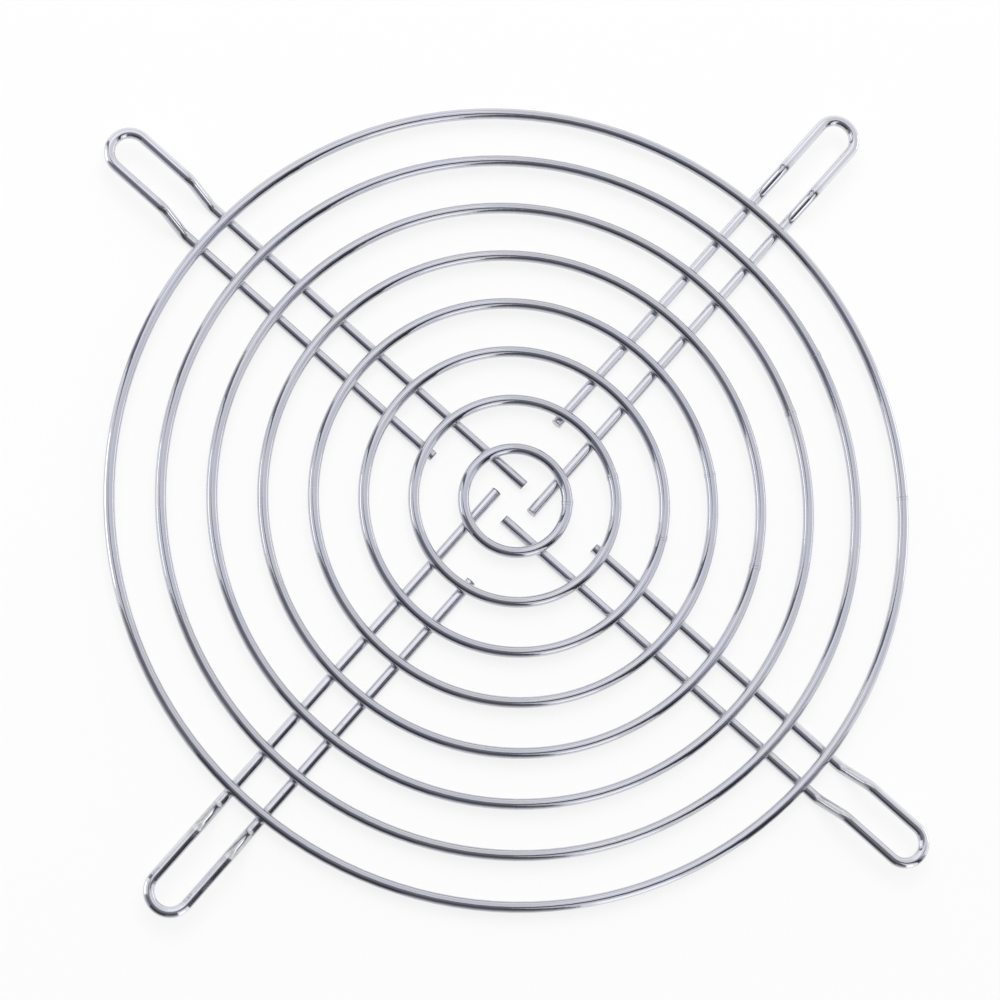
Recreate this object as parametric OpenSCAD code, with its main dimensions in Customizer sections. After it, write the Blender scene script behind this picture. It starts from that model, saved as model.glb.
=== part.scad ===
// Wire fan guard for a 120 mm axial fan.
//
// Eight concentric rings lie across four hairpin ribs and are resistance welded
// to them at every crossing. A rib is one length of wire bent back on itself.
// Its closed end is a screw loop, and its two legs carry the rings. Beyond the
// outermost ring both legs are joggled up, so that the loops meet the corners of
// the fan while the rings stay clear of its blades.
//
// Frame: the origin is on the guard's axis, level with the underside of the rib
// legs, on which the guard lies. +Z points from the ribs to the rings. +X and +Y
// run along the middle of two ribs.

/* [Wire] */
// Diameter of the wire that the rings are rolled from
ring_wire_d = 1.6; // [1.2:0.1:2]
// Diameter of the wire that the ribs are bent from
rib_wire_d = 1.6; // [1.2:0.1:2]
// Depth to which welding presses each ring into the ribs
weld_set = 0.2; // [0.1:0.05:0.3]
// Chamfer that the shear leaves around the cut ends of a rib
cut_chamfer = 0.15; // [0.05:0.05:0.3]

/* [Rings] */
// Radius of the innermost ring, to the middle of its wire
first_ring_r = 7.6; // [6.5:0.1:9]
// Distance from the outermost ring to the screw centres, along a rib
ring_to_screw = 16.25; // [13.5:0.25:20]
// Height by which the butt weld of a ring stands proud of its wire
seam_h = 0.06; // [0.02:0.02:0.1]
// Length of that butt weld along the wire
seam_len = 0.8; // [0.4:0.1:1.2]

/* [Screw loops] */
// Distance between neighbouring screws of the fan, which form a square
screw_spacing = 105; // [85:0.5:130]
// Width of the slot inside a loop, clear of the wire
slot_w = 4.2; // [3.5:0.1:5.5]

/* [Joggle] */
// Straight length of a leg between the outermost ring and the joggle
joggle_clear = 1.5; // [1:0.1:3]
// Radius of the joggle's two bends, to the middle of the wire
joggle_bend_r = 2; // [1.5:0.1:2.5]
// Length of the straight slope between the two bends
joggle_slope_len = 4; // [3:0.1:5]

/* [Legs] */
// Distance from the guard's centre at which the long legs stop
long_leg_stop = 0.5; // [0.2:0.1:1.5]
// Length of the short legs' tails beyond the last ring that they carry
short_leg_tail = 0.7; // [0.2:0.1:3]

/* [Hidden] */
$fn = 72;

ring_count = 8;
// The short legs stop inside this ring. Only the long legs go on, across ring 1.
short_leg_ring = 2;
// Direction of each ring's butt weld, all in one quarter, clear of the ribs.
seam_angle = [-50, -34, -62, -40, -63, -30, -22, -47];
// The joggle's slope rises 3 in 4.
joggle_angle = atan(3 / 4);

// Places along a wire are kept to a whole micron, so that its stretches meet.
function micron(length) = round(1000 * length) / 1000;

screw_circle_r = micron(screw_spacing / sqrt(2));
outer_ring_r = screw_circle_r - ring_to_screw;
ring_pitch = (outer_ring_r - first_ring_r) / (ring_count - 1);
function ring_r(number) = first_ring_r + (number - 1) * ring_pitch;

// Heights of the middle of the wire.
leg_z = micron(rib_wire_d / 2);
ring_z = rib_wire_d + ring_wire_d / 2 - weld_set;

// A loop is a half circle, and the legs lie this far to each side of its middle.
leg_y = micron((slot_w + rib_wire_d) / 2);
function crossing_x(number) = sqrt(pow(ring_r(number), 2) - pow(leg_y, 2));

// Lengths along a rib, measured from the guard's centre or from one another.
joggle_run = 2 * joggle_bend_r * sin(joggle_angle) + joggle_slope_len * cos(joggle_angle);
joggle_x = micron(outer_ring_r + ring_wire_d / 2 + joggle_clear);
loop_len = micron(screw_circle_r - joggle_x - joggle_run);
long_leg_len = micron(joggle_x - long_leg_stop - cut_chamfer);
short_leg_stop = crossing_x(short_leg_ring) - ring_wire_d / 2 - short_leg_tail;
short_leg_len = micron(joggle_x - short_leg_stop - cut_chamfer);

// The wire former's moves. Each starts at the origin, heading along +Z, and its
// children go on from where it ends. A bend turns towards +X.
module straight(length) {
    cylinder(d = rib_wire_d, h = length);
    translate([0, 0, length]) children();
}

module bend(radius, angle) {
    translate([radius, 0, 0]) {
        rotate([90, 0, 180]) rotate_extrude(angle = angle) translate([radius, 0]) circle(d = rib_wire_d);
        rotate([0, angle, 0]) translate([-radius, 0, 0]) children();
    }
}

// Turns the wire about its own line, so that the next bend goes another way.
module roll(angle) {
    rotate([0, 0, angle]) children();
}

// Shifts the wire sideways, towards +X, and brings it back to its heading.
module joggle() {
    bend(joggle_bend_r, joggle_angle)
        straight(joggle_slope_len)
            roll(180) bend(joggle_bend_r, joggle_angle)
                roll(180) children();
}

// The broken edge of a sheared end.
module cut_end() {
    cylinder(d1 = rib_wire_d, d2 = rib_wire_d - 2 * cut_chamfer, h = cut_chamfer);
}

// A whole rib along +X: out along the long leg, up the joggle, round the screw
// loop, down again and back along the short leg.
module hairpin() {
    translate([joggle_x - long_leg_len, -leg_y, leg_z]) rotate([0, 90, 0]) roll(180) {
        mirror([0, 0, 1]) cut_end();
        straight(long_leg_len)
            joggle()
                straight(loop_len)
                    roll(-90) bend(leg_y, 180)
                        roll(-90) straight(loop_len)
                            joggle()
                                straight(short_leg_len)
                                    cut_end();
    }
}

// A hoop of ring wire, or the part of one that an angle takes in.
module hoop(number, wire_d, angle = 360) {
    translate([0, 0, ring_z])
        rotate_extrude(angle = angle) translate([ring_r(number), 0]) circle(d = wire_d);
}

// One ring, closed by its butt weld.
module ring(number) {
    seam_turn = seam_len / ring_r(number) * 180 / PI;
    color("gainsboro") {
        hoop(number, ring_wire_d);
        rotate([0, 0, seam_angle[number - 1] - seam_turn / 2])
            hoop(number, ring_wire_d + 2 * seam_h, seam_turn);
    }
}

// One rib, turned to its heading, with the seats that the rings are welded into.
module rib(heading) {
    color("silver") difference() {
        rotate([0, 0, heading]) hairpin();
        for (number = [1:ring_count]) hoop(number, ring_wire_d);
    }
}

ring(1);  // ring_1
ring(2);  // ring_2
ring(3);  // ring_3
ring(4);  // ring_4
ring(5);  // ring_5
ring(6);  // ring_6
ring(7);  // ring_7
ring(8);  // ring_8
rib(0);  // rib_right
rib(90);  // rib_back
rib(180);  // rib_left
rib(270);  // rib_front
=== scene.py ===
"""Wire fan guard: eight rings welded across four hairpin ribs, all in bright nickel-chrome plate."""
from math import cos, pi, radians, sin, sqrt
from random import Random

import bmesh
import bpy
from mathutils import Matrix, Vector


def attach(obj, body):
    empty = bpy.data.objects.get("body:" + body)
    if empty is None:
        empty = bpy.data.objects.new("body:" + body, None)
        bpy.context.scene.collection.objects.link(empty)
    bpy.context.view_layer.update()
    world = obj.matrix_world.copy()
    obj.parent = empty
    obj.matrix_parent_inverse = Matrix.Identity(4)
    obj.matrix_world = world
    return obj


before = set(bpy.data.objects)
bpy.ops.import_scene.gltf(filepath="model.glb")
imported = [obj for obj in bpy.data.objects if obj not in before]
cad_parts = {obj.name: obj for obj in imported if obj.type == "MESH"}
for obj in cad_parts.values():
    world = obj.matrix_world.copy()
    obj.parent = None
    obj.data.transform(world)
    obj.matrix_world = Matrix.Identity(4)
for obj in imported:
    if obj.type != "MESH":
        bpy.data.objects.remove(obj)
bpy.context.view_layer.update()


# ---------------------------------------------------------------------------
# Camera. It looks down on the guard from a forearm's length, leaning a little
# towards the left rib, and turned so that the right rib points up and right.
MM = 0.001                                      # metres, Blender's unit, to the millimetre
camera_distance = 420.7 * MM
camera_lean = radians(14.88)
camera_azimuth = radians(178.16)
camera_turn = radians(133.48)
aim = Vector((-1.48, 1.71, 2.2)) * MM
focal_length, sensor_width = 105.47, 36
nearest_seen = 10 * MM

camera = bpy.data.objects.new("camera", bpy.data.cameras.new("camera"))
bpy.context.scene.collection.objects.link(camera)
camera.data.lens = focal_length
camera.data.sensor_width = sensor_width
camera.data.clip_start = nearest_seen
facing = (Matrix.Rotation(camera_azimuth, 4, "Z")
          @ Matrix.Rotation(camera_lean, 4, "Y")
          @ Matrix.Rotation(camera_turn, 4, "Z"))
camera.matrix_world = Matrix.Translation(aim) @ facing @ Matrix.Translation((0, 0, camera_distance))
bpy.context.scene.camera = camera
bpy.context.scene.view_settings.view_transform = "Standard"


# ---------------------------------------------------------------------------
# Floor. White paper, far larger than the guard that lies on it: plain to the camera, with
# the guard's shadow. Only in reflections does it have two glossy clear sheets on top,
# whose four faces mirror the room at low angles and so darken the wires' edges.
paper_radius = 1.5
paper_colour = (0.95, 0.95, 0.95, 1)
paper_own_light = 0.8
sheet_roughness = 0.05
sheet_index, sheet_faces = 1.5, 4.0
floor_sides = 96


def new_material(name):
    """A node material with only its output node."""
    material = bpy.data.materials.new(name)
    material.use_nodes = True
    tree = material.node_tree
    tree.nodes.clear()
    return material, tree, tree.nodes.new("ShaderNodeOutputMaterial")


def joined(tree, kind, *sources, **settings):
    """A node with its first inputs fed in order by sockets or set to numbers."""
    node = tree.nodes.new(kind)
    for key, value in settings.items():
        setattr(node, key, value)
    for place, source in zip(node.inputs, sources):
        if isinstance(source, bpy.types.NodeSocket):
            tree.links.new(source, place)
        elif source is not None:
            place.default_value = source
    return node


def mesh_object(name, shape):
    """The finished bmesh as an object at the origin."""
    mesh = bpy.data.meshes.new(name)
    shape.to_mesh(mesh)
    shape.free()
    made = bpy.data.objects.new(name, mesh)
    bpy.context.scene.collection.objects.link(made)
    return made


def sums(tree, operation, *sources):
    """One Math node's answer."""
    return joined(tree, "ShaderNodeMath", *sources, operation=operation).outputs[0]


def white_paper():
    """Matt white, partly its own light where it is seen, and mirroring where plate sees it."""
    material, tree, output = new_material("white_paper")
    ray = tree.nodes.new("ShaderNodeLightPath").outputs
    seen = sums(tree, "MAXIMUM", ray["Is Camera Ray"], ray["Is Glossy Ray"])
    seen = sums(tree, "MAXIMUM", seen, ray["Is Transmission Ray"])
    matt = joined(tree, "ShaderNodeBsdfDiffuse", paper_colour)
    own = joined(tree, "ShaderNodeEmission", (1, 1, 1, 1), 1.0)
    paper = joined(tree, "ShaderNodeMixShader", sums(tree, "MULTIPLY", seen, paper_own_light),
                   matt.outputs[0], own.outputs[0])
    one_face = joined(tree, "ShaderNodeFresnel", sheet_index).outputs[0]
    all_faces = sums(tree, "DIVIDE", sums(tree, "MULTIPLY", one_face, sheet_faces),
                     sums(tree, "MULTIPLY_ADD", one_face, sheet_faces - 1, 1.0))
    mirrored = sums(tree, "MULTIPLY", all_faces, ray["Is Glossy Ray"])
    sheets = joined(tree, "ShaderNodeBsdfGlossy", (1, 1, 1, 1), sheet_roughness)
    both = joined(tree, "ShaderNodeMixShader", mirrored, paper.outputs[0], sheets.outputs[0])
    tree.links.new(both.outputs[0], output.inputs["Surface"])
    material.cycles.emission_sampling = "NONE"
    return material


shape = bmesh.new()
bmesh.ops.create_circle(shape, cap_ends=True, segments=floor_sides, radius=paper_radius)
floor = mesh_object("floor", shape)
floor.data.materials.append(white_paper())


# ---------------------------------------------------------------------------
# Room. A white tent stands round the guard, brightest low down, with soft lamps in it.
# Grey cards hang there too, out of the camera's sight: bright plate shows its form by
# what it mirrors, and the cards give the wires their dark lines.
tent_low, tent_high = 1.12, 0.78
tent_high_from = 35                             # degrees up
card_tint = (0.96, 0.97, 1.06)
card_rows, card_columns = 16, 32
lamp_distance = 1.0


def band(tree, height, stops, tint=(1, 1, 1)):
    """A tone that runs through (elevation in degrees, level) as the height goes from -1 to 1."""
    ramp = joined(tree, "ShaderNodeValToRGB",
                  joined(tree, "ShaderNodeMapRange", height, -1.0, 1.0).outputs[0])
    points = ramp.color_ramp.elements
    points.remove(points[1])
    for number, (elevation, level) in enumerate(stops):
        place = (1 + sin(radians(elevation))) / 2
        point = points.new(place) if number else points[0]
        point.position = place
        point.color = (*(level * share for share in tint), 1)
    return ramp.outputs[0]


def tent_world():
    """The tent's cloth, all round and overhead."""
    world = bpy.data.worlds.new("white_tent")
    world.use_nodes = True
    tree = world.node_tree
    way = joined(tree, "ShaderNodeSeparateXYZ", tree.nodes.new("ShaderNodeTexCoord").outputs["Generated"])
    level = band(tree, way.outputs["Z"], [(0, tent_low), (tent_high_from, tent_high)])
    tree.links.new(level, tree.nodes["Background"].inputs["Color"])
    return world


bpy.context.scene.world = tent_world()


def card(name, azimuths, elevations, levels, distance=1.2):
    """A curved card over these angles, in degrees, seen from the guard. It is lit unevenly: the
    levels are those at its lower edge, its middle and its upper edge. The distance is in metres."""
    low, high = (radians(angle) for angle in elevations)
    start, stop = (radians(angle) for angle in azimuths)
    shape = bmesh.new()
    heights = [low + (high - low) * row / card_rows for row in range(card_rows + 1)]
    rim = [shape.verts.new((cos(height) * cos(start) * distance, cos(height) * sin(start) * distance,
                            sin(height) * distance)) for height in heights]
    edges = [shape.edges.new(pair) for pair in zip(rim, rim[1:])]
    bmesh.ops.spin(shape, geom=rim + edges, cent=(0, 0, 0), axis=(0, 0, 1), angle=stop - start,
                   steps=card_columns, use_merge=False)
    made = mesh_object(name, shape)
    material, tree, output = new_material(name)
    place = tree.nodes.new("ShaderNodeTexCoord").outputs["Object"]
    way = joined(tree, "ShaderNodeVectorMath", place, operation="NORMALIZE")
    height = joined(tree, "ShaderNodeSeparateXYZ", way.outputs[0]).outputs["Z"]
    middle = sum(elevations) / 2
    level = band(tree, height, list(zip((elevations[0], middle, elevations[1]), levels)), card_tint)
    lit = joined(tree, "ShaderNodeEmission", level, 1.0)
    tree.links.new(lit.outputs[0], output.inputs["Surface"])
    material.cycles.emission_sampling = "NONE"
    made.data.materials.append(material)
    made.visible_camera = False


card("overhead_card_left", (100, 262), (62, 90), (0.2, 0.27, 0.3))
card("overhead_card_front", (262, 312), (58, 90), (0.13, 0.10, 0.18))
card("overhead_card_back", (-48, 100), (68, 90), (0.82, 0.90, 0.80))
card("screen_left", (168, 212), (0, 66), (0.10, 0.045, 0.2), 1.15)
card("screen_front", (212, 241), (0, 66), (0.32, 0.075, 0.18), 1.15)
card("screen_back", (140, 168), (0, 64), (0.42, 0.155, 0.2), 1.15)
card("post_front", (269, 281), (0, 62), (0.10, 0.02, 0.06), 1.1)
card("post_front_side", (281, 291), (0, 62), (0.5, 0.25, 0.13), 1.1)
card("post_back", (89, 100), (0, 60), (0.3, 0.14, 0.2), 1.1)


def softbox(name, azimuth, elevation, width, height, light):
    """A lamp in this direction, in degrees, with a face of this size, in metres, and brightness."""
    lamp = bpy.data.objects.new(name, bpy.data.lights.new(name, "AREA"))
    bpy.context.scene.collection.objects.link(lamp)
    lamp.data.shape = "RECTANGLE"
    lamp.data.size, lamp.data.size_y = width, height
    lamp.data.energy = light * width * height * pi
    lamp.matrix_world = (Matrix.Rotation(radians(azimuth), 4, "Z")
                         @ Matrix.Rotation(radians(90 - elevation), 4, "Y")
                         @ Matrix.Translation((0, 0, lamp_distance)) @ Matrix.Rotation(pi / 2, 4, "Z"))
    return lamp


softbox("softbox_back", 124, 3, 0.45, 0.4, 1.15)
softbox("softbox_front", 251, 14, 0.25, 0.8, 0.42)
softbox("softbox_right", 325, 2, 0.45, 0.3, 0.9)
softbox("softbox_high", 55, 55, 0.6, 0.45, 0.36)
key = softbox("overhead_key", 60, 70, 0.8, 0.8, 2.6)
key.visible_glossy = False


# ---------------------------------------------------------------------------
# Rings. Eight hoops of drawn steel wire, each butt-welded, laid across the ribs and
# spot-welded at every crossing, then plated bright: nickel with a thin flash of chrome.
wire = 1.6                                      # millimetres, as are the sizes below
first_ring, ring_step, ring_count = 7.6, 7.1994, 8
ring_height, leg_height = 2.2, 0.8              # of the wires' centre lines
leg_offset = 2.9
weld_height = 1.5
ring_plate_colour = (0.65, 0.65, 0.695, 1)
ring_cool_colour = (0.62, 0.63, 0.70, 1)
# a duller tone of the plate, also used as painted shade round the spot welds
dull_and_shade_colour = (0.47, 0.47, 0.49, 1)
ring_roughness = (0.05, 0.10)                   # between the drawn lines and on them
ring_relief = 0.004                             # how deep the ripple is
ring_line_fineness, ring_line_turns = 7.0, 7
clouds_per_mm, ripples_per_mm, hazes_per_mm, pits_per_mm = 0.11, 1.3, 0.5, 1.1
most_noise = (0.3, 0.7)                         # nearly all of a noise lies between these
cloud_range, haze_range, pit_rim = (0.36, 0.64), (0.5, 0.72), (0.05, 0.13)
pits_left_out = 0.8
haze_roughness, line_share = 0.06, 0.25
weld_core, weld_reach = 0.75, 1.5               # from the middle of a spot weld
# Round each spot weld the plate is duller, and painted darker as painted shade where ring and rib meet.
weld_mark_and_shade, weld_roughness = 0.5, 0.16
past_any_weld = 5


def new_group(name, inputs, outputs):
    """An empty shader node group with these number, vector or colour sockets."""
    group = bpy.data.node_groups.new(name, "ShaderNodeTree")
    for way, sockets in (("INPUT", inputs), ("OUTPUT", outputs)):
        for label, kind in sockets:
            group.interface.new_socket(label, in_out=way, socket_type="NodeSocket" + kind)
    return group, group.nodes.new("NodeGroupInput").outputs, group.nodes.new("NodeGroupOutput").inputs


def placed(tree, group, *sources):
    """A group's node, with its inputs fed as a node's are."""
    node = tree.nodes.new("ShaderNodeGroup")
    node.node_tree = group
    for place, source in zip(node.inputs, sources):
        if isinstance(source, bpy.types.NodeSocket):
            tree.links.new(source, place)
        elif source is not None:
            place.default_value = source
    return node.outputs


def ramped(tree, value, low, high, to_low=0.0, to_high=1.0):
    """The value eased from one range to another."""
    return joined(tree, "ShaderNodeMapRange", value, low, high, to_low, to_high,
                  interpolation_type="SMOOTHSTEP").outputs[0]


def guard_places():
    """Where a point lies on the guard, in millimetres: its four quarters are the same."""
    measures = ("Radius", "Turn", "Along", "Across", "Off Ring", "Height", "Crossing")
    group, given, made = new_group("guard_places", [("Position", "Vector")],
                                   [(label, "Float") for label in measures])
    sized = joined(group, "ShaderNodeVectorMath", given["Position"], operation="SCALE")
    sized.inputs["Scale"].default_value = 1 / MM
    x, y, z = joined(group, "ShaderNodeSeparateXYZ", sized.outputs[0]).outputs
    radius = sums(group, "SQRT", sums(group, "ADD", sums(group, "MULTIPLY", x, x),
                                      sums(group, "MULTIPLY", y, y)))
    turn = sums(group, "ARCTAN2", y, x)
    fold = sums(group, "WRAP", turn, pi / 4, -pi / 4)
    along = sums(group, "MULTIPLY", radius, sums(group, "COSINE", fold))
    across = sums(group, "MULTIPLY", radius, sums(group, "SINE", fold))
    past_first = sums(group, "SUBTRACT", radius, first_ring)
    number = sums(group, "ROUND", sums(group, "DIVIDE", past_first, ring_step))
    number = sums(group, "MINIMUM", sums(group, "MAXIMUM", number, 0), ring_count - 1)
    off_ring = sums(group, "SUBTRACT", past_first, sums(group, "MULTIPLY", number, ring_step))
    off_leg = sums(group, "SUBTRACT", sums(group, "ABSOLUTE", across), leg_offset)
    off_weld = joined(group, "ShaderNodeCombineXYZ", off_ring, off_leg,
                      sums(group, "SUBTRACT", z, weld_height))
    crossing = joined(group, "ShaderNodeVectorMath", off_weld.outputs[0],
                      operation="LENGTH").outputs["Value"]
    no_leg = sums(group, "MULTIPLY", sums(group, "LESS_THAN", number, 0.5),
                  sums(group, "GREATER_THAN", across, 0))
    crossing = sums(group, "ADD", crossing, sums(group, "MULTIPLY", no_leg, past_any_weld))
    for label, value in zip(measures, (radius, turn, along, across, off_ring, z, crossing)):
        group.links.new(value, made[label])
    return group


def drawn_lines():
    """Fine lines along a drawn wire, from its place across and along the wire."""
    group, given, made = new_group("drawn_lines", [("Across Wire", "Vector"), ("Along Wire", "Float"),
                                                   ("Fineness", "Float")], [("Lines", "Float")])
    fine = joined(group, "ShaderNodeVectorMath", given["Across Wire"], operation="SCALE")
    group.links.new(given["Fineness"], fine.inputs["Scale"])
    noise = group.nodes.new("ShaderNodeTexNoise")
    noise.noise_dimensions = "4D"
    group.links.new(fine.outputs[0], noise.inputs["Vector"])
    group.links.new(given["Along Wire"], noise.inputs["W"])
    noise.inputs["Scale"].default_value = 1.0
    noise.inputs["Detail"].default_value = 2.0
    group.links.new(noise.outputs[0], made["Lines"])
    return group


def noise_at(tree, place, scale, detail):
    """Noise with this many features to the millimetre."""
    noise = tree.nodes.new("ShaderNodeTexNoise")
    tree.links.new(place, noise.inputs["Vector"])
    noise.inputs["Scale"].default_value = scale / MM
    noise.inputs["Detail"].default_value = detail
    return noise.outputs[0]


def plating():
    """Bright plating: slow clouds of tint, the ripple of the plate's surface, and pits."""
    group, given, made = new_group("plating", [("Position", "Vector")],
                                   [(label, "Float") for label in ("Cloud", "Ripple", "Pits", "Haze")])
    place = given["Position"]
    cloud = noise_at(group, place, clouds_per_mm, detail=2.0)
    haze = noise_at(group, place, hazes_per_mm, detail=3.0)
    group.links.new(ramped(group, cloud, *cloud_range), made["Cloud"])
    group.links.new(noise_at(group, place, ripples_per_mm, detail=2.0), made["Ripple"])
    group.links.new(ramped(group, haze, *haze_range), made["Haze"])
    speck = group.nodes.new("ShaderNodeTexVoronoi")
    group.links.new(place, speck.inputs["Vector"])
    speck.inputs["Scale"].default_value = pits_per_mm / MM
    near = ramped(group, speck.outputs["Distance"], *pit_rim, 1.0, 0.0)
    rare = joined(group, "ShaderNodeSeparateColor", speck.outputs["Color"]).outputs[0]
    kept = sums(group, "GREATER_THAN", rare, pits_left_out)
    group.links.new(sums(group, "MULTIPLY", near, kept), made["Pits"])
    return group


def tinted(tree, share, first, second):
    """One colour giving way to another."""
    mix = tree.nodes.new("ShaderNodeMix")
    mix.data_type = "RGBA"
    for label, source in (("Factor_Float", share), ("A_Color", first), ("B_Color", second)):
        socket = next(place for place in mix.inputs if place.identifier == label)
        if isinstance(source, bpy.types.NodeSocket):
            tree.links.new(source, socket)
        else:
            socket.default_value = source
    return next(place for place in mix.outputs if place.identifier == "Result_Color")


places_group, lines_group, plating_group = guard_places(), drawn_lines(), plating()


def near_weld(tree, place):
    """One at a spot weld, and nothing a little way off."""
    return ramped(tree, place["Crossing"], weld_core, weld_reach, 1.0, 0.0)


def plate_roughness(tree, lines, finish, between):
    """Rougher on the drawn lines and where the plate is hazy."""
    return sums(tree, "ADD", ramped(tree, lines, *most_noise, *between),
                sums(tree, "MULTIPLY", finish["Haze"], haze_roughness))


def plate_relief(tree, lines, finish):
    """The ripple with the drawn lines on it and the pits in it."""
    height = sums(tree, "MULTIPLY_ADD", lines, line_share, finish["Ripple"])
    return sums(tree, "SUBTRACT", height, finish["Pits"])


def plated_metal(tree, output, colour, roughness, height, relief):
    """The bright shader itself: metal all over, with its colour, roughness and relief fed in."""
    shader = tree.nodes.new("ShaderNodeBsdfPrincipled")
    shader.inputs["Metallic"].default_value = 1.0
    tree.links.new(colour, shader.inputs["Base Color"])
    tree.links.new(roughness, shader.inputs["Roughness"])
    bump = tree.nodes.new("ShaderNodeBump")
    bump.inputs["Strength"].default_value = 1.0
    bump.inputs["Distance"].default_value = relief * MM
    tree.links.new(height, bump.inputs["Height"])
    tree.links.new(bump.outputs[0], shader.inputs["Normal"])
    tree.links.new(shader.outputs[0], output.inputs["Surface"])


def ring_plate():
    """Bright plate on the hoops, darker round each spot weld: partly a duller weld mark, partly painted
    shade where ring and rib meet.
    """
    material, tree, output = new_material("ring_plate")
    position = tree.nodes.new("ShaderNodeTexCoord").outputs["Object"]
    place = placed(tree, places_group, position)
    finish = placed(tree, plating_group, position)
    section = joined(tree, "ShaderNodeCombineXYZ", place["Off Ring"], place["Height"],
                     sums(tree, "COSINE", place["Turn"]))
    along_ring = sums(tree, "MULTIPLY", sums(tree, "SINE", place["Turn"]), ring_line_turns)
    lines = placed(tree, lines_group, section.outputs[0], along_ring, ring_line_fineness)["Lines"]
    at_weld = near_weld(tree, place)
    colour = tinted(tree, finish["Cloud"], ring_plate_colour, ring_cool_colour)
    colour = tinted(tree, sums(tree, "MULTIPLY", at_weld, weld_mark_and_shade), colour, dull_and_shade_colour)
    colour = tinted(tree, finish["Pits"], colour, dull_and_shade_colour)
    rough = plate_roughness(tree, lines, finish, ring_roughness)
    rough = sums(tree, "ADD", rough, sums(tree, "MULTIPLY", at_weld, weld_roughness))
    plated_metal(tree, output, colour, rough, plate_relief(tree, lines, finish), ring_relief)
    return material


def ring_radius(number):
    """From the guard's axis to a ring's centre line. The innermost ring is number 1."""
    return first_ring + (number - 1) * ring_step


ring_wire_plate = ring_plate()
for number in range(1, ring_count + 1):
    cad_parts[f"ring_{number}"].material_slots[0].material = ring_wire_plate


# ---------------------------------------------------------------------------
# Ribs. Four hairpins of the same wire, plated too. Each joggles up past the outer ring, and
# its bend is the screw loop. The press leaves a faint crease along each joggle, whose slope
# carries painted shade, heavier on some ribs. The bends and the sheared ends are a little duller.
loop_centre = 74.246
joggle_start, joggle_end = 60.3, 65.9
# The ribs' plate is painted lighter than the rings', though it is the same plate: painted light.
rib_painted_light_colour = (0.79, 0.79, 0.86, 1)
rib_warm_painted_light_colour = (0.76, 0.765, 0.81, 1)
# the colour of the painted shade on the joggles' slopes
slope_shade_colour = (0.36, 0.37, 0.345, 1)
rib_roughness = (0.055, 0.11)
rib_relief = 0.005
rib_line_fineness, rib_line_pace = 8.0, 0.12
legs_apart = 3                                  # so that the two legs' lines differ
bend_core, bend_reach = 0.2, 1.4                # from the middle of a joggle's bend
loop_bend_start, loop_bend_full = loop_centre - 0.5, loop_centre + 1.5
bend_dulling, loop_dulling, end_dulling = 0.2, 0.4, 0.35
sheared_end, end_reach = 2.6, 3.6
dull_roughness = 0.3
slope_margin, slope_ease = 0.2, 1.0
crease_offset, crease_width, crease_slope = 0.15, 0.10, 0.192
sides = ("right", "back", "left", "front")
# how much painted shade each rib's joggle slopes carry
slope_shade_amounts = (0.1, 0.1, 0.5, 0.25)
slope_shade_range, faintest_slope_shade = (0.3, 0.6), 0.6     # the painted shade is patchy, as the ripple is


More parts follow.
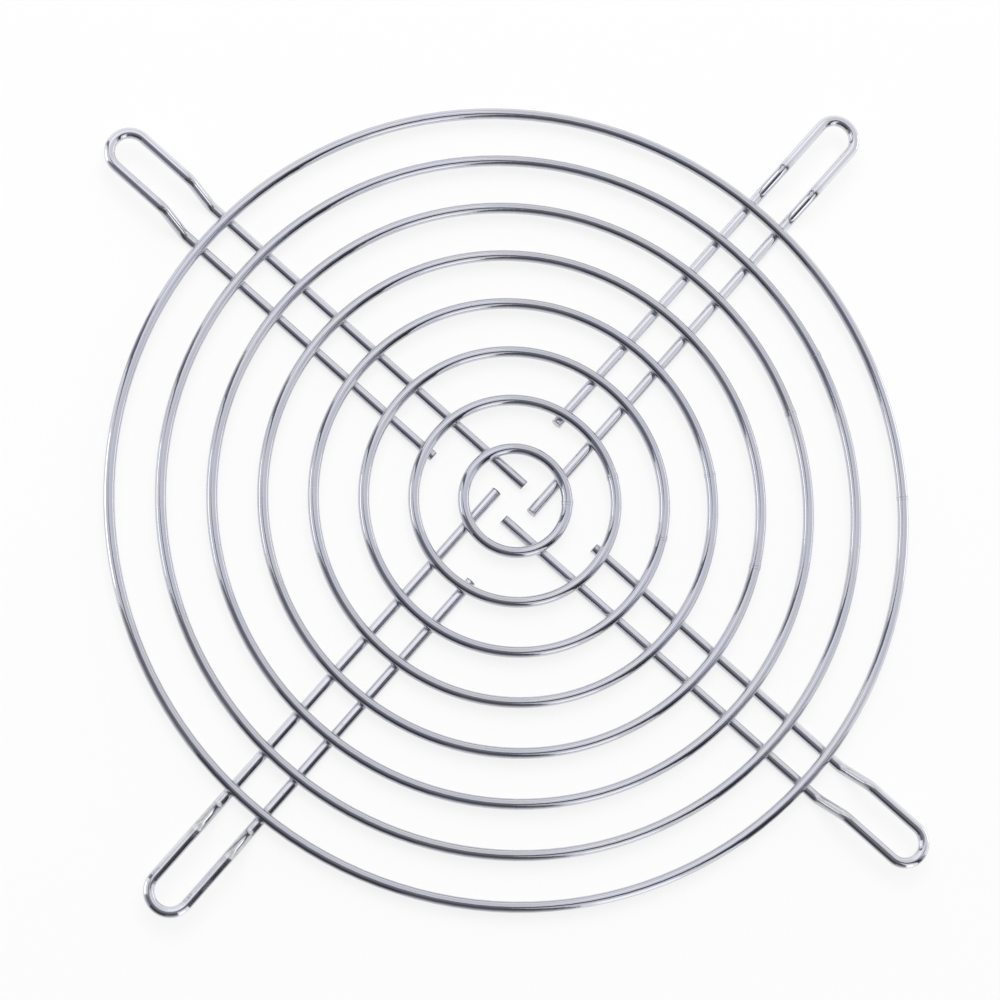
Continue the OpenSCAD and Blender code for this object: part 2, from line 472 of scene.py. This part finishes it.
def rib_plate(name, slope_shade_amount):
    """Bright plate, with this much painted shade on the joggles' slopes."""
    material, tree, output = new_material(name)
    position = tree.nodes.new("ShaderNodeTexCoord").outputs["Object"]
    place = placed(tree, places_group, position)
    finish = placed(tree, plating_group, position)
    round_bend = sums(tree, "MAXIMUM", sums(tree, "SUBTRACT", place["Along"], loop_centre), 0)
    off_middle = sums(tree, "SQRT", sums(tree, "ADD", sums(tree, "MULTIPLY", round_bend, round_bend),
                                         sums(tree, "MULTIPLY", place["Across"], place["Across"])))
    section = joined(tree, "ShaderNodeCombineXYZ", off_middle, place["Height"],
                     sums(tree, "MULTIPLY", sums(tree, "SIGN", place["Across"]), legs_apart))
    along_leg = sums(tree, "MULTIPLY", place["Along"], rib_line_pace)
    lines = placed(tree, lines_group, section.outputs[0], along_leg, rib_line_fineness)["Lines"]
    low_bend, high_bend = (
        ramped(tree, sums(tree, "ABSOLUTE", sums(tree, "SUBTRACT", place["Along"], middle)),
               bend_core, bend_reach, 1.0, 0.0) for middle in (joggle_start, joggle_end))
    loop_bend = ramped(tree, place["Along"], loop_bend_start, loop_bend_full)
    bends = sums(tree, "MAXIMUM", sums(tree, "MAXIMUM", low_bend, high_bend),
                 sums(tree, "MULTIPLY", loop_bend, loop_dulling))
    cut_end = ramped(tree, place["Radius"], sheared_end, end_reach, 1.0, 0.0)
    # round the spot welds: a duller weld mark and painted shade where ring and rib meet
    dull = sums(tree, "MAXIMUM", sums(tree, "MULTIPLY", near_weld(tree, place), weld_mark_and_shade),
                sums(tree, "MULTIPLY", cut_end, end_dulling))
    dull = sums(tree, "MAXIMUM", dull, sums(tree, "MULTIPLY", bends, bend_dulling))
    slope_start, slope_end = joggle_start + slope_margin, joggle_end - slope_margin
    slope = sums(tree, "MULTIPLY", ramped(tree, place["Along"], slope_start, slope_start + slope_ease),
                 ramped(tree, place["Along"], slope_end - slope_ease, slope_end, 1.0, 0.0))
    leg_middle = sums(tree, "MULTIPLY", sums(tree, "SIGN", place["Across"]), leg_offset)
    off_crease = sums(tree, "ADD", sums(tree, "SUBTRACT", place["Across"], leg_middle), crease_offset)
    crease = sums(tree, "SQRT", sums(tree, "MULTIPLY_ADD", off_crease, off_crease, crease_width ** 2))
    crease = sums(tree, "MULTIPLY", sums(tree, "MULTIPLY", crease, slope), crease_slope / rib_relief)
    # painted shade on the joggles' slopes, patchy with the ripple
    slope_shade = ramped(tree, finish["Ripple"], *slope_shade_range, faintest_slope_shade * slope_shade_amount, slope_shade_amount)
    colour = tinted(tree, finish["Cloud"], rib_painted_light_colour, rib_warm_painted_light_colour)
    colour = tinted(tree, dull, colour, dull_and_shade_colour)
    colour = tinted(tree, sums(tree, "MULTIPLY", slope, slope_shade), colour, slope_shade_colour)
    colour = tinted(tree, finish["Pits"], colour, dull_and_shade_colour)
    rough = plate_roughness(tree, lines, finish, rib_roughness)
    rough = sums(tree, "MULTIPLY_ADD", dull, dull_roughness, rough)
    height = sums(tree, "SUBTRACT", plate_relief(tree, lines, finish), crease)
    plated_metal(tree, output, colour, rough, height, rib_relief)
    return material


for side, slope_shade_amount in zip(sides, slope_shade_amounts):
    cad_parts[f"rib_{side}"].material_slots[0].material = rib_plate(f"rib_plate_{side}", slope_shade_amount)


# ---------------------------------------------------------------------------
# Spot welds. A lip of metal is squeezed out between ring and rib at each crossing,
# and the plating covers it. No two lips are quite alike, and they are duller.
lip_radius, lip_thickness = 0.84, 0.27
lip_waist, lip_corners = 0.94, 0.5              # it spreads into the four corners of a crossing
lip_spread, lip_swelling = (0.93, 1.05), (0.85, 1.15)
lip_tilt, lip_turn, lip_shift = 0.12, 0.2, 0.06
lip_relief, lip_roughness = 0.02, (0.16, 0.3)
long_leg_end, short_leg_end = 0.5, 13.01        # from the guard's middle


def weld_plate():
    """Duller, lumpier plate, as it lies over squeezed-out or sheared metal."""
    material, tree, output = new_material("weld_plate")
    position = tree.nodes.new("ShaderNodeTexCoord").outputs["Object"]
    finish = placed(tree, plating_group, position)
    colour = tinted(tree, finish["Haze"], ring_plate_colour, dull_and_shade_colour)
    rough = ramped(tree, finish["Ripple"], *most_noise, *lip_roughness)
    height = sums(tree, "SUBTRACT", finish["Ripple"], finish["Pits"])
    plated_metal(tree, output, colour, rough, height, lip_relief)
    return material


def weld_lips(radius):
    """The lips under one ring, a flattened bead at each leg that it crosses."""
    rng = Random(round(radius * 100))
    shape = bmesh.new()
    along = sqrt(radius ** 2 - leg_offset ** 2)
    legs = [-leg_offset] + ([leg_offset] if along > short_leg_end else [])
    for quarter in range(4):
        for across in legs:
            bead = bmesh.ops.create_uvsphere(shape, u_segments=20, v_segments=10,
                                             radius=lip_radius)["verts"]
            for vert in bead:
                fourfold = (vert.co.x * vert.co.y / lip_radius ** 2) ** 2
                vert.co.xy *= lip_waist + lip_corners * fourfold
            size = (rng.uniform(*lip_spread), rng.uniform(*lip_spread),
                    lip_thickness / lip_radius * rng.uniform(*lip_swelling))
            bmesh.ops.scale(shape, vec=size, verts=bead)
            lean = Matrix.Rotation(rng.uniform(-lip_tilt, lip_tilt), 3, "X")
            lean @= Matrix.Rotation(rng.uniform(-lip_turn, lip_turn), 3, "Z")
            bmesh.ops.rotate(shape, matrix=lean, verts=bead)
            spot = Vector((along + rng.uniform(-lip_shift, lip_shift),
                           across + rng.uniform(-lip_shift, lip_shift), weld_height))
            bmesh.ops.translate(shape, vec=spot, verts=bead)
            bmesh.ops.rotate(shape, matrix=Matrix.Rotation(quarter * pi / 2, 3, "Z"), verts=bead)
    bmesh.ops.scale(shape, vec=(MM, MM, MM), verts=shape.verts)
    return shape


weld_lip_plate = weld_plate()
for number in range(1, ring_count + 1):
    lips = mesh_object(f"weld_lips_{number}", weld_lips(ring_radius(number)))
    lips.data.shade_smooth()
    lips.data.materials.append(weld_lip_plate)
    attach(lips, "root")


# ---------------------------------------------------------------------------
# Butt welds. Each hoop's ends meet in one upset joint. The scraper that trims it
# leaves a thin burr round the wire, under the same duller plate as the lips.
joint_angles = (-50, -34, -62, -40, -63, -30, -22, -47)     # degrees, innermost ring first
burr_radius, burr_thickness = 0.845, 0.05
burr_waves, burr_wave_start = (2, 4), (0, 6)
burr_unevenness, burr_wander = 0.5, 0.03
burr_sides, burr_steps = 8, 40


def joint_burr(radius, angle):
    """A thin uneven loop of metal round the wire, at this angle on the ring."""
    rng = Random(angle)
    shape = bmesh.new()
    upright = Matrix.Translation((burr_radius, 0, 0)) @ Matrix.Rotation(pi / 2, 4, "X")
    section = bmesh.ops.create_circle(shape, segments=burr_sides, radius=burr_thickness, matrix=upright)
    edges = list({edge for vert in section["verts"] for edge in vert.link_edges})
    bmesh.ops.spin(shape, geom=section["verts"] + edges, cent=(0, 0, 0), axis=(0, 0, 1), angle=2 * pi,
                   steps=burr_steps, use_merge=True)
    waves, start = rng.uniform(*burr_waves), rng.uniform(*burr_wave_start)
    for vert in shape.verts:
        vert.co.z *= 1 + burr_unevenness * sin(waves * vert.co.x / burr_radius + start)
        vert.co.z += burr_wander * sin(2 * vert.co.y / burr_radius + start)
    bmesh.ops.recalc_face_normals(shape, faces=shape.faces)
    place = (Matrix.Scale(MM, 4) @ Matrix.Rotation(radians(angle), 4, "Z")
             @ Matrix.Translation((radius, 0, ring_height)) @ Matrix.Rotation(pi / 2, 4, "X"))
    bmesh.ops.transform(shape, matrix=place, verts=shape.verts)
    return shape


for number, angle in enumerate(joint_angles, 1):
    burr = mesh_object(f"joint_burr_{number}", joint_burr(ring_radius(number), angle))
    burr.data.shade_smooth()
    burr.data.materials.append(weld_lip_plate)
    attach(burr, "root")


# ---------------------------------------------------------------------------
# Cut ends. Each leg is sheared off square: the blade rounds the rim over a little
# and leaves a shallow slope across the face. The plate on them is the welds'.
cap_thickness, cap_overlap = 0.07, 0.03         # it reaches this far into the leg
cap_inset, cap_rounding, cap_sides = 0.01, 0.06, 28
shear_line, shear_slope = (-0.2, 0.1), 0.03     # the slope starts at a line across the face


def end_cap(quarter, reach, across):
    """The plated face of one sheared leg, which faces the middle of the guard."""
    rng = Random(quarter * 10 + (across > 0))
    shape = bmesh.new()
    bmesh.ops.create_circle(shape, cap_ends=True, segments=cap_sides, radius=wire / 2 - cap_inset)
    raised = bmesh.ops.extrude_face_region(shape, geom=shape.faces[:])["geom"]
    front = [part for part in raised if isinstance(part, bmesh.types.BMVert)]
    bmesh.ops.translate(shape, vec=(0, 0, cap_thickness), verts=front)
    rim = [edge for edge in shape.edges if all(vert in front for vert in edge.verts)]
    bmesh.ops.bevel(shape, geom=rim, affect="EDGES", offset=cap_rounding, segments=3, profile=0.5,
                    material=-1)
    plane = Vector((0, rng.uniform(*shear_line), 0))
    bmesh.ops.bisect_plane(shape, geom=shape.verts[:] + shape.edges[:] + shape.faces[:],
                           plane_co=plane, plane_no=(0, 1, 0))
    for vert in shape.verts:
        if vert.co.y > plane.y + 1e-4 and vert.co.z > cap_thickness / 2:
            vert.co.z -= shear_slope * (vert.co.y - plane.y)
    bmesh.ops.recalc_face_normals(shape, faces=shape.faces)
    place = (Matrix.Scale(MM, 4) @ Matrix.Rotation(quarter * pi / 2, 4, "Z")
             @ Matrix.Translation((reach + cap_overlap, across, leg_height))
             @ Matrix.Rotation(-pi / 2, 4, "Y"))
    bmesh.ops.transform(shape, matrix=place, verts=shape.verts)
    return shape


for quarter, side in enumerate(sides):
    for leg, reach, across in (("long", long_leg_end, -leg_offset), ("short", short_leg_end, leg_offset)):
        cap = mesh_object(f"cut_end_{side}_{leg}", end_cap(quarter, reach, across))
        cap.data.materials.append(weld_lip_plate)
        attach(cap, "root")
